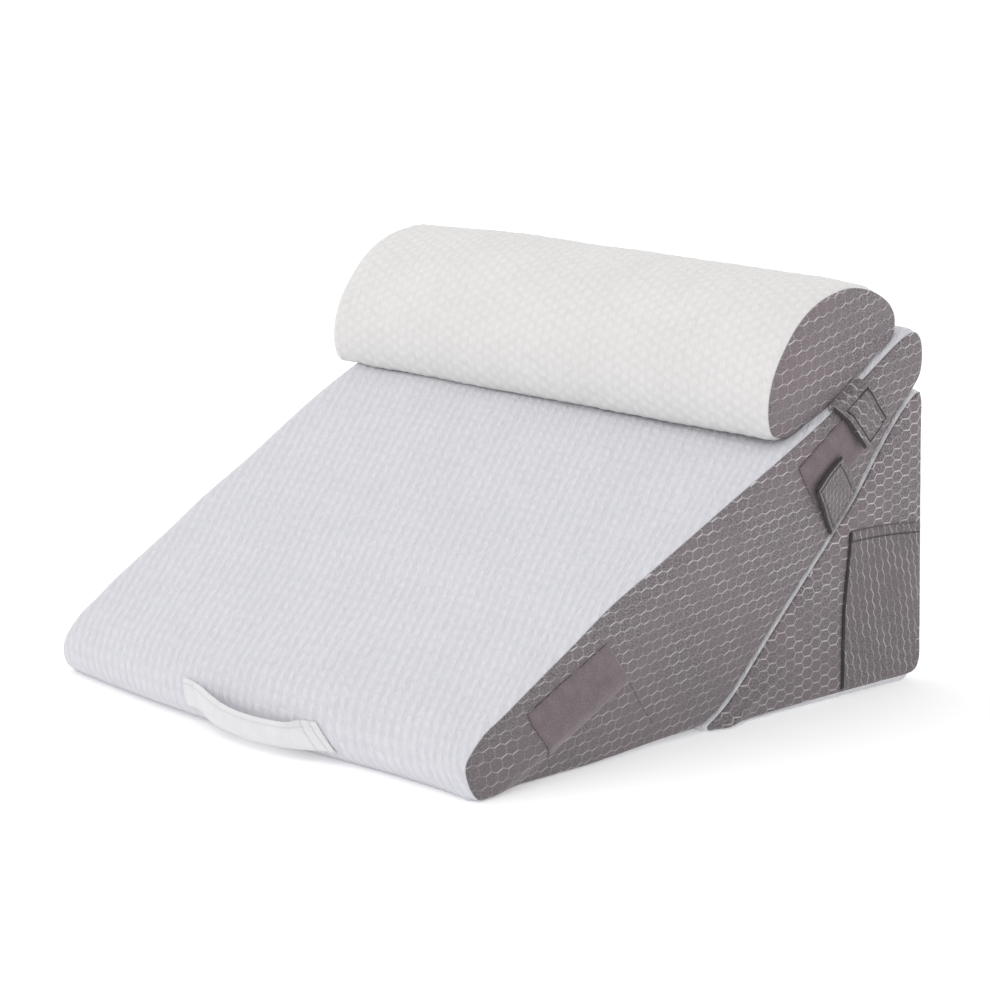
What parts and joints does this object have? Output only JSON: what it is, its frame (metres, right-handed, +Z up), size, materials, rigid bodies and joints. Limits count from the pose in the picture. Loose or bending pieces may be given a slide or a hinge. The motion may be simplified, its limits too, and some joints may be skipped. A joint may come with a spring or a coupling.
{
  "type": "wedge pillow set",
  "caption": "Sloping wedge pillow on a triangular wedge, with a half-moon headrest across the slope, side tabs, a side pocket and a strap handle on the nose.",
  "frame": {"origin": "bottom centre of the bounding box of the whole set as placed", "axes": "+Z up, -Y toward the low nose, +Y toward the tall back, X across the pillow"},
  "size_m": [0.556, 0.5754, 0.3512],
  "materials": {
    "slope_cover": "cool white quilted knit, matt",
    "wrap_cover": "white knit, matt",
    "headrest_cover": "warm white bubble knit, matt",
    "side_knit": "mauve grey knit with a pale hexagon net",
    "felt": "brushed mauve brown felt",
    "strap_white": "white quilted knit strap"
  },
  "bodies": {
    "root": {"front_wedge": "slope_cover", "front_side_right": "side_knit", "front_side_left": "side_knit", "rear_wedge": "wrap_cover", "rear_side_right": "side_knit", "rear_side_left": "side_knit", "bolster": "headrest_cover", "bolster_end_right": "side_knit", "bolster_end_left": "side_knit", "loop_low_right": "felt", "loop_low_left": "felt", "loop_high_right": "felt", "loop_high_left": "felt", "tab_rear_right": "side_knit", "tab_rear_left": "side_knit", "tab_bolster_right": "side_knit", "tab_bolster_left": "side_knit", "side_pocket": "side_knit", "carry_handle": "strap_white"}
  },
  "joints": []
}
